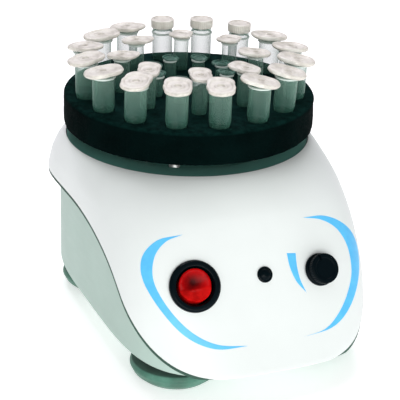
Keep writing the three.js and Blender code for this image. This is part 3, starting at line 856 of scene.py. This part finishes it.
# Edges of the arcs, from the upper tip round to the lower one.
ARCS = {
    "arc_left": (
        ((-35.5, 73.5), (-47.0, 71.2), (-54.9, 64.1), (-56.5, 54.2), (-51.3, 42.5),
         (-42.2, 31.9), (-29.5, 26.1), (-13.1, 25.5)),
        ((-35.5, 73.5), (-43.9, 70.6), (-50.2, 64.2), (-52.3, 54.5), (-48.0, 43.8),
         (-39.5, 34.0), (-28.2, 27.9), (-13.1, 25.5)),
    ),
    "arc_right": (
        ((27.3, 73.9), (39.4, 72.5), (49.9, 67.3), (57.3, 59.3), (59.0, 50.2),
         (54.2, 41.4), (45.0, 32.2), (33.4, 26.6), (16.5, 25.2)),
        ((27.3, 73.9), (37.6, 71.2), (45.9, 65.6), (50.4, 57.2), (50.3, 47.6),
         (46.2, 40.2), (38.5, 32.3), (28.9, 26.7), (16.5, 25.2)),
    ),
    "crescent": (
        ((15.0, 60.6), (15.4, 54.5), (17.6, 48.2), (21.8, 43.0)),
        ((19.7, 60.3), (19.2, 54.5), (19.8, 48.6), (21.8, 43.0)),
    ),
}


def make_print():
    """The two arcs around the controls, and the crescent left of the knob."""
    for name, (outer, inner) in ARCS.items():
        print_band(name, outer, inner)


# ---------------------------------------------------------------- controls

def make_switch():
    """Round bezel with a polished collar around a deep well."""
    profile = rounded(
        [
            (0, -20), (9.6, -20, 0.5), (9.6, -0.4), (12.5, -0.4), (12.5, 1.1, 0.7),
            (11.5, 2.1, 0.8), (9.6, 2.1, 0.5), (9.0, 0.6, 0.4), (8.9, -8), (0, -8),
        ],
        5,
    )
    mesh = turned_mesh("switch_bezel", profile, 96)
    matrix = panel_matrix(*SWITCH_PLACE)
    place("switch_bezel", mesh, BLACK, "housing", "black_plastic", ["switch_body"], matrix)


def make_rocker():
    """Round rocker, tipped about its pivot to its rest: ridged face, short skirt, underside."""
    radius, pivot, tilt = 7.9, -1.5, -7
    levels, sides = 14, 72
    rings = [[(0, 0, rocker_face(0, 0, radius))]]
    for share in [level / levels for level in range(1, levels + 1)]:
        ring = []
        for k in range(sides):
            angle = 2 * math.pi * k / sides
            x = radius * share * math.cos(angle)
            y = radius * share * math.sin(angle)
            ring.append((x, y, rocker_face(x, y, radius)))
        rings.append(ring)
    edge = rings[-1]
    rings.append([(x * 1.012, y * 1.012, z - 0.5) for x, y, z in edge])
    rings.append([(x * 1.012, y * 1.012, -4.6) for x, y, _ in edge])
    rings.append([(x * 0.9, y * 0.9, -5.2) for x, y, _ in edge])
    rings.append([(0, 0, -5.2)])
    mesh = finish_mesh(mesh_from_rings("rocker_cap", rings, False), 50)
    lean = shift(0, 0, pivot) @ turn_about("X", tilt) @ shift(0, 0, -pivot)
    matrix = panel_matrix(*SWITCH_PLACE) @ lean
    place("rocker_cap", mesh, RED, "rocker", "red_plastic", ["switch_rocker"], matrix)


def rocker_face(x, y, radius):
    """Height of the rocker's face: two slopes that meet in a soft ridge line below the middle,
    with a round dish pressed into the upper one."""
    ridge = -1.6
    away = y - ridge
    slope = 0.25 if away > 0 else 0.42
    height = 0.9 + math.sqrt(away * away * slope * slope + 0.02)
    dish = math.hypot(x / (radius * 0.8), (y - 2.0) / (radius * 0.62))
    height -= 0.95 * max(0.0, 1 - dish * dish)
    rim = max(0.0, math.hypot(x, y) / radius - 0.9) * 10
    return height - 0.35 * rim * rim


def make_knob():
    """Speed knob: thin skirt, finely fluted grip, softened top with a pointer notch."""
    profile = rounded(
        [
            (0, 3), (3.3, 3), (3.3, 0.8), (8.0, 0.8, 0.2), (8.0, 1.9, 0.5), (6.8, 2.3, 0.2),
            (6.8, 3.3, 0.3), (7.5, 4.0, 0.3), (7.5, 6.8, 1.0), (5.4, 6.8, 0.3), (5.0, 6.4, 0.3),
            (0, 6.4),
        ],
        5,
    )

    def fluted(radius, z, angle):
        grip = 3.9 < z < 6.3 and radius > 7
        return radius - 0.14 * (1 + math.cos(36 * angle)) if grip else radius

    mesh = turned_mesh("knob_grip", profile, 288, shape=fluted)
    matrix = panel_matrix(*KNOB_PLACE)
    piece = place("knob_grip", mesh, KNOB_BLACK, "knob", "black_plastic", ["speed_knob"], matrix)
    notch = matrix @ turn_about("Z", 20) @ shift(0, 6.4, 6.6)
    cut_out(piece, [box_cutter(notch, (1.1, 3.8, 2.2))])


def make_lens():
    """Small domed lens in a thin collar."""
    profile = rounded(
        [
            (0, -7), (2.4, -7), (2.4, 0.1), (3.9, 0.1), (3.9, 0.9, 0.4), (3.2, 1.1, 0.2),
            (3.0, 0.9, 0.15), (2.6, 1.6, 0.8), (1.3, 2.3, 1.0), (0, 2.4),
        ],
        5,
    )
    mesh = turned_mesh("lens_dome", profile, 56)
    matrix = panel_matrix(*LENS_PLACE)
    place("lens_dome", mesh, BLACK, "housing", "black_plastic", ["indicator_lens"], matrix)


# ---------------------------------------------------------------- platform

def foam_noise(point, strength):
    """Unevenness of the foam's skin, in millimetres."""
    coarse = noise.noise(Vector(point) * 0.11)
    fine = noise.noise(Vector(point) * 0.9 + Vector((7, 3, 1)))
    return strength * (0.6 * coarse + 0.4 * fine)


def tube_places(ring):
    """(x, y, angle) of the sockets of one ring around the platform's axis."""
    places = []
    for k in range(ring["count"]):
        angle = math.radians(ring["first"] + 360 / ring["count"] * k)
        places.append((ring["circle"] * math.sin(angle), -ring["circle"] * math.cos(angle), angle))
    return places


RINGS = {
    "large": {"count": 16, "circle": 54.2, "first": -6.2, "socket": 5.45, "depth": 13.2, "tip": 2.5},
    "medium": {"count": 8, "circle": 34.8, "first": -14.0, "socket": 4.1, "depth": 10.5, "tip": 2.1},
    "small": {"count": 8, "circle": 19.5, "first": 9.0, "socket": 3.4, "depth": 8.5, "tip": 1.9},
}


def make_foam():
    """Foam disc with uneven skin, soft rim, a tapered socket for each tube and a bore in the
    middle for the screw."""
    low, top, rim = PLATFORM_BOTTOM, PLATFORM_TOP, PLATFORM_RADIUS
    lower_edge = rounded([(60, low), (rim, low, 1.2), (rim, top)], 5)[1:-1]
    upper_edge = rounded([(rim, low), (rim, top, 2.2), (60, top)], 5)[1:-1]
    side = [(rim, low + 1.5 + (top - low - 4) * k / 7) for k in range(8)]
    profile = [(0, low), (20, low), (45, low), *lower_edge, *side, *upper_edge]
    profile += [(60 - 4 * k, top) for k in range(15)] + [(0, top)]
    uneven = []
    for ring in turned_rings(profile, 240):
        moved = []
        for x, y, z in ring:
            radius = math.hypot(x, y)
            away = foam_noise((x, y, z), 0.5) - 0.15
            if z < top - 1.5 and radius > rim - 2.5:
                scale = (radius + away) / radius
                moved.append((x * scale, y * scale, z))
            else:
                moved.append((x, y, z + (away * 0.5 if z > top - 3 else 0)))
        uneven.append(moved)
    mesh = finish_mesh(mesh_from_rings("foam_disc", uneven, False), 50)
    at = shift(0, PLATFORM_Y, 0)
    piece = place("foam_disc", mesh, FOAM, "platform", "foam", ["platform_foam"], at)
    cutters = []
    for ring in RINGS.values():
        hole = rounded(
            [
                (0, -ring["depth"]), (ring["tip"], -ring["depth"]), (ring["socket"], 0.1, 0.6),
                (ring["socket"] + 0.5, 0.9), (0, 0.9),
            ],
            2,
        )
        socket = turned_mesh("socket", hole, 28)
        cutters += [(socket, shift(x, PLATFORM_Y + y, top)) for x, y, _ in tube_places(ring)]
    bore = turned_mesh("bore", [(0, -20), (2.8, -20), (2.8, 2), (0, 2)], 24)
    cutters.append((bore, shift(0, PLATFORM_Y, top)))
    cut_out(piece, cutters)


def tube_body_mesh(name, ring, radius, height):
    """Filled tube: conical foot, straight neck, and the sample's surface just under the mouth."""
    depth, socket, tip = ring["depth"], ring["socket"] - 0.45, ring["tip"] - 0.4
    profile = [
        (0, -depth + 0.4), (tip * 0.8, -depth + 0.5, 0.6), (tip * 1.05, -depth + 2.2, 0.8),
        (socket, 0, 2.0), (radius, 2.4, 1.2), (radius, height - 3.4),
        (radius - 0.15, height, 0.2), (radius - 0.8, height, 0.2),
        (radius - 1.0, height - 1.4, 0.3), (0, height - 1.6),
    ]
    return turned_mesh(name, rounded(profile, 3), 48, sharp=50)


def collar_mesh(name, radius, reach, height):
    """Thickened bead around the outside of a tube, below its mouth."""
    profile = [
        (radius - 0.2, height - 0.4), (radius + reach, height - 0.4, 0.25),
        (radius + reach, height + 0.4, 0.3), (radius - 0.2, height + 0.5),
    ]
    return turned_mesh(name, rounded(profile, 3), 48, closed=True, sharp=60)


def lid_mesh(name, radius, thickness, tab, hinge):
    """Snap lid: oval plate with a raised rim, a dimple where it was gated, a broad thumb tab in
    front (+Y), the folded hinge behind, and the hollow plug that seals the mouth. Its underside
    is at z = 0."""
    def oval(size, _z, angle):
        ahead = math.sin(angle)
        part = min(1.0, max(0.0, (abs(ahead) - 0.25) / 0.75))
        grow = (tab if ahead > 0 else hinge) * part * part * (3 - 2 * part)
        grow += 0.1 * math.sin(5 * angle + 1) + 0.08 * math.sin(9 * angle)
        return size + grow * min(1.0, size / radius) ** 5

    plug = radius * 0.6
    profile = rounded(
        [
            (0, 0.4), (plug - 0.8, 0.4), (plug - 0.8, -1.6), (plug, -1.6, 0.3), (plug, 0.3),
            (radius * 0.86, 0.3), (radius * 0.88, 0, 0.15), (radius * 0.97, 0, 0.3),
            (radius, thickness * 0.5, 0.5), (radius * 0.98, thickness, 0.5),
            (radius * 0.84, thickness, 0.4), (radius * 0.74, thickness - 0.7, 0.4),
            (radius * 0.5, thickness - 0.7, 0.3), (radius * 0.42, thickness - 0.3, 0.3),
            (radius * 0.27, thickness - 0.3, 0.3), (radius * 0.18, thickness - 1.15, 0.3),
            (0, thickness - 1.15),
        ],
        3,
    )
    return turned_mesh(name, profile, 96, shape=oval, sharp=45)


def screw_cap_mesh(name, radius, height):
    """Straight cap with fine grip ribs and a raised edge round its top; its underside is at 0."""
    def ribbed(size, z, angle):
        grip = 0.5 < z < height - 0.9 and size > radius - 1
        return size - 0.16 * (1 + math.cos(36 * angle)) if grip else size

    profile = rounded(
        [
            (0, -0.6), (radius * 0.7, -0.6), (radius * 0.72, 0), (radius, 0, 0.3),
            (radius, 0.8), (radius, height - 1.0), (radius, height - 0.2, 0.5),
            (radius * 0.8, height, 0.4), (radius * 0.72, height - 0.5, 0.3), (0, height - 0.4),
        ],
        4,
    )
    return turned_mesh(name, profile, 216, shape=ribbed, sharp=45)


SCREW_CAPPED = (6, 7, 8)
# Turn of each outer lid away from pointing straight out, and the lean of its tube about X and
# about Y, in degrees.
LID_TURNS = (-14, 38, 12, -10, 14, -16, 0, 0, 0, 20, 60, -35, 24, -19, 12, 6)
LEANS = ((0, 0), (0, 2.5), (1.5, 3), (0, 1.5), (1, 1), (0, 0), (0, 1), (0, 0), (1, -1), (0, -1),
         (0, 1), (0, -1.5), (-1, -1), (0, -1), (1, 0), (0, 0.8))


def tube_parts(name, ring, body, bead, lid_height):
    """Meshes of a tube of a (radius, height) with a bead of a (reach, height) around it, and the
    height at which its lid starts."""
    radius, height = body
    wall = tube_body_mesh(f"{name}_wall", ring, radius, height)
    return wall, collar_mesh(f"{name}_collar", radius, *bead), lid_height


def place_tube(size, index, spot, lean, parts, turn, tip=0.0):
    """A tube and its lid, standing in a socket and riding on that tube's own body. The folded
    hinge lifts the lid behind, so it tips a little towards its tab."""
    node = f"tube_{size}_{index + 1:02d}"
    matrix = shift(spot[0], PLATFORM_Y + spot[1], PLATFORM_TOP)
    matrix = matrix @ turn_about("X", lean[0]) @ turn_about("Y", lean[1])
    wall, collar, lid_height, lid, lid_looks = parts
    place(f"{node}_wall", wall, CLEAR, node, "tube_plastic", [node], matrix)
    place(f"{node}_collar", collar, BEAD, node, "tube_plastic", (), matrix)
    matrix = matrix @ shift(0, 0, lid_height) @ Matrix.Rotation(turn, 4, "Z")
    matrix = matrix @ turn_about("X", -tip)
    place(f"{node}_lid", lid, lid_looks, node, "tube_plastic", (), matrix)


def make_tubes():
    """All tubes: each kind's meshes are made once and shared by its tubes."""
    large, medium, small = RINGS["large"], RINGS["medium"], RINGS["small"]
    snap = tube_parts("large", large, (5.5, 18.6), (0.75, 17.2), 18.65)
    capped = tube_parts("capped", large, (5.45, 17.6), (0.55, 14.6), 17.7)
    half = tube_parts("medium", medium, (3.9, 18.2), (0.65, 16.9), 18.3)
    mini = tube_parts("small", small, (3.2, 10.7), (0.5, 9.9), 10.8)
    snap += (lid_mesh("large_lid", 7.1, 2.1, 2.5, 3.3), LID)
    capped += (screw_cap_mesh("screw_cap", 6.2, 4.65), LID)
    half += (lid_mesh("medium_lid", 5.6, 1.8, 2.2, 3.8), LID)
    mini += (lid_mesh("small_lid", 3.9, 1.2, 0.6, 1.6), CLEAR)
    for i, (x, y, angle) in enumerate(tube_places(large)):
        parts = capped if i in SCREW_CAPPED else snap
        outward = angle - math.pi + math.radians(LID_TURNS[i])
        tip = 0.0 if i in SCREW_CAPPED else 6.5
        place_tube("large", i, (x, y), LEANS[i], parts, outward, tip)
    for i, (x, y, angle) in enumerate(tube_places(medium)):
        lean = (1.2 * math.sin(2.1 * i), 1.4 * math.cos(1.7 * i))
        place_tube("medium", i, (x, y), lean, half, angle - math.pi + 0.7 * math.sin(3 * i), 5.0)
    for i, (x, y, angle) in enumerate(tube_places(small)):
        lean = (math.cos(2.3 * i), math.sin(1.3 * i))
        place_tube("small", i, (x, y), lean, mini, angle - math.pi + 0.8 * math.cos(2 * i))


# ---------------------------------------------------------------- inner pieces

def dress_cad_nodes():
    """Materials of the CAD nodes that no piece stands for."""
    finishes = (
        (BLACK, ("power_jack",)),
        (BOARD, ("control_board",)),
        (CAST, ("motor_bracket", "motor_body", "speed_pot", "platform_carrier")),
        (STEEL, ("ballast_plate", "main_bearing", "eccentric_bearing", "pot_shaft", "crank_shaft",
                 "counterweight", "platform_screw", "idler_pin_1", "idler_pin_2", "idler_pin_3")),
    )
    for material, names in finishes:
        for name in names:
            node = frame["nodes"][name]
            node.data.materials.clear()
            node.data.materials.append(material)


# ---------------------------------------------------------------- stage

def make_stage():
    """Wide pale floor, a light in front and one behind and above, and a bright even surround."""
    material, shader = new_material("floor_paint", 0.9)
    speckle = noise_of(material, object_place(material), 12.0, 3.0)
    tint = ramp(material, speckle, [(0.3, (0.84, 0.84, 0.84)), (0.7, (0.88, 0.88, 0.88))])
    paint(material, shader, tint)
    shader.inputs["Emission Color"].default_value = (1, 1, 1, 1)
    shader.inputs["Emission Strength"].default_value = 0.52
    mesh = bpy.data.meshes.new("floor")
    size = 6.0
    corners = [(-size, -size, 0), (size, -size, 0), (size, size, 0), (-size, size, 0)]
    mesh.from_pydata(corners, [], [(0, 1, 2, 3)])
    mesh.materials.append(material)
    floor = bpy.data.objects.new("floor", mesh)
    bpy.context.scene.collection.objects.link(floor)

    world = bpy.data.worlds.new("surround")
    bpy.context.scene.world = world
    world.use_nodes = True
    background = world.node_tree.nodes["Background"]
    background.inputs["Color"].default_value = (1, 1, 1, 1)
    background.inputs["Strength"].default_value = 0.34

    def area(name, location, target, size, power, colour):
        data = bpy.data.lights.new(name, "AREA")
        data.shape = "RECTANGLE"
        data.size, data.size_y = size
        data.energy = power
        data.color = colour
        light = bpy.data.objects.new(name, data)
        light.location = location
        light.rotation_mode = "QUATERNION"
        light.rotation_quaternion = (Vector(target) - Vector(location)).to_track_quat("-Z", "Y")
        bpy.context.scene.collection.objects.link(light)

    area("front", (-0.25, -1.5, 0.4), (0, 0, 0.06), (1.2, 0.6), 15.0, (0.985, 1.0, 0.98))
    area("top", (0.15, 0.75, 1.25), (0, 0, 0.05), (1.0, 0.8), 13.5, (1.0, 0.95, 1.03))


def make_camera():
    """Camera in front of the panel, to the left and above, tilted a little."""
    data = bpy.data.cameras.new("camera")
    data.sensor_width = 36
    data.lens = 134.4
    data.clip_start, data.clip_end = 0.01, 20
    camera = bpy.data.objects.new("camera", data)
    forward = Vector((0.3622, 0.8433, -0.3970)).normalized()
    right = Vector((0.9234, -0.3826, 0.0298))
    right = (right - forward * right.dot(forward)).normalized()
    up = right.cross(forward)
    matrix = Matrix((right, up, -forward)).transposed().to_4x4()
    matrix.translation = Vector((-0.2822, -0.6490, 0.3698))
    camera.matrix_world = matrix
    bpy.context.scene.collection.objects.link(camera)
    bpy.context.scene.camera = camera


bpy.context.scene.view_settings.view_transform = "Standard"
make_stage()
make_camera()
make_cover()
make_base()
make_seam_shade_bead()
pan_screw = make_pan_screw()
make_deck(pan_screw)
make_feet(pan_screw)
make_print()
make_switch()
make_rocker()
make_knob()
make_lens()
make_foam()
make_tubes()
dress_cad_nodes()
